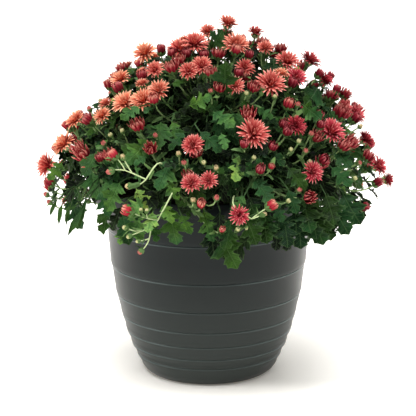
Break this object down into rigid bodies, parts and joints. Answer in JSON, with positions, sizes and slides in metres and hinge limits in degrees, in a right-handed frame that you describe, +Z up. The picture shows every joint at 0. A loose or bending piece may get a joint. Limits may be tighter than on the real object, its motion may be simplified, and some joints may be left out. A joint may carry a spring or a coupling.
{
  "type": "pot chrysanthemum",
  "caption": "Domed pot chrysanthemum with layered open blooms, half-open blooms, buds and lobed leaves, rooted in soil in a ringed round pot with a wide rim.",
  "frame": {"origin": "centre of the pot's flat base, on the surface it stands on", "axes": "+Z up along the pot's axis; -Y is the side that is seen first; +X is to the right of someone who looks along +Y"},
  "size_m": [0.4587, 0.4342, 0.4613],
  "materials": {
    "charcoal_plastic": "satin moulded plastic, dark grey with a faint green-blue tint",
    "potting_soil": "dry crumbly peat and bark",
    "leaf_green": "soft matte leaf",
    "coral_petals": "soft matte petal",
    "crimson_petals": "soft matte petal"
  },
  "bodies": {
    "root": {"bloom_01": "coral_petals", "bloom_02": "coral_petals", "bloom_03": "crimson_petals", "bloom_04": "coral_petals", "bloom_05": "coral_petals", "bloom_06": "crimson_petals", "bloom_07": "coral_petals", "bloom_08": "coral_petals", "bloom_09": "crimson_petals", "bloom_10": "coral_petals", "bloom_11": "coral_petals", "bloom_12": "crimson_petals", "bloom_13": "coral_petals", "bloom_14": "coral_petals", "bloom_15": "crimson_petals", "bloom_16": "coral_petals", "bloom_17": "coral_petals", "bloom_18": "crimson_petals", "bloom_19": "coral_petals", "bloom_20": "coral_petals", "bloom_21": "crimson_petals", "bloom_22": "coral_petals", "bloom_23": "coral_petals", "bloom_24": "crimson_petals", "bloom_25": "coral_petals", "bloom_26": "coral_petals", "bloom_27": "crimson_petals", "bloom_28": "coral_petals", "bloom_29": "coral_petals", "bloom_30": "crimson_petals", "bloom_31": "coral_petals", "bloom_32": "coral_petals", "bloom_33": "crimson_petals", "bloom_34": "coral_petals", "bloom_35": "coral_petals", "bloom_36": "crimson_petals", "bloom_37": "coral_petals", "bloom_38": "coral_petals", "bloom_39": "crimson_petals", "bloom_40": "coral_petals", "bloom_41": "coral_petals", "bloom_42": "crimson_petals", "bloom_43": "coral_petals", "leafy_stem_01": "leaf_green", "leafy_stem_02": "leaf_green", "leafy_stem_03": "leaf_green", "leafy_stem_04": "leaf_green", "leafy_stem_05": "leaf_green", "leafy_stem_06": "leaf_green", "leafy_stem_07": "leaf_green", "leafy_stem_08": "leaf_green", "leafy_stem_09": "leaf_green", "leafy_stem_10": "leaf_green", "leafy_stem_11": "leaf_green", "leafy_stem_12": "leaf_green", "leafy_stem_13": "leaf_green", "leafy_stem_14": "leaf_green", "leafy_stem_15": "leaf_green", "pot": "charcoal_plastic", "soil": "potting_soil"}
  },
  "joints": []
}
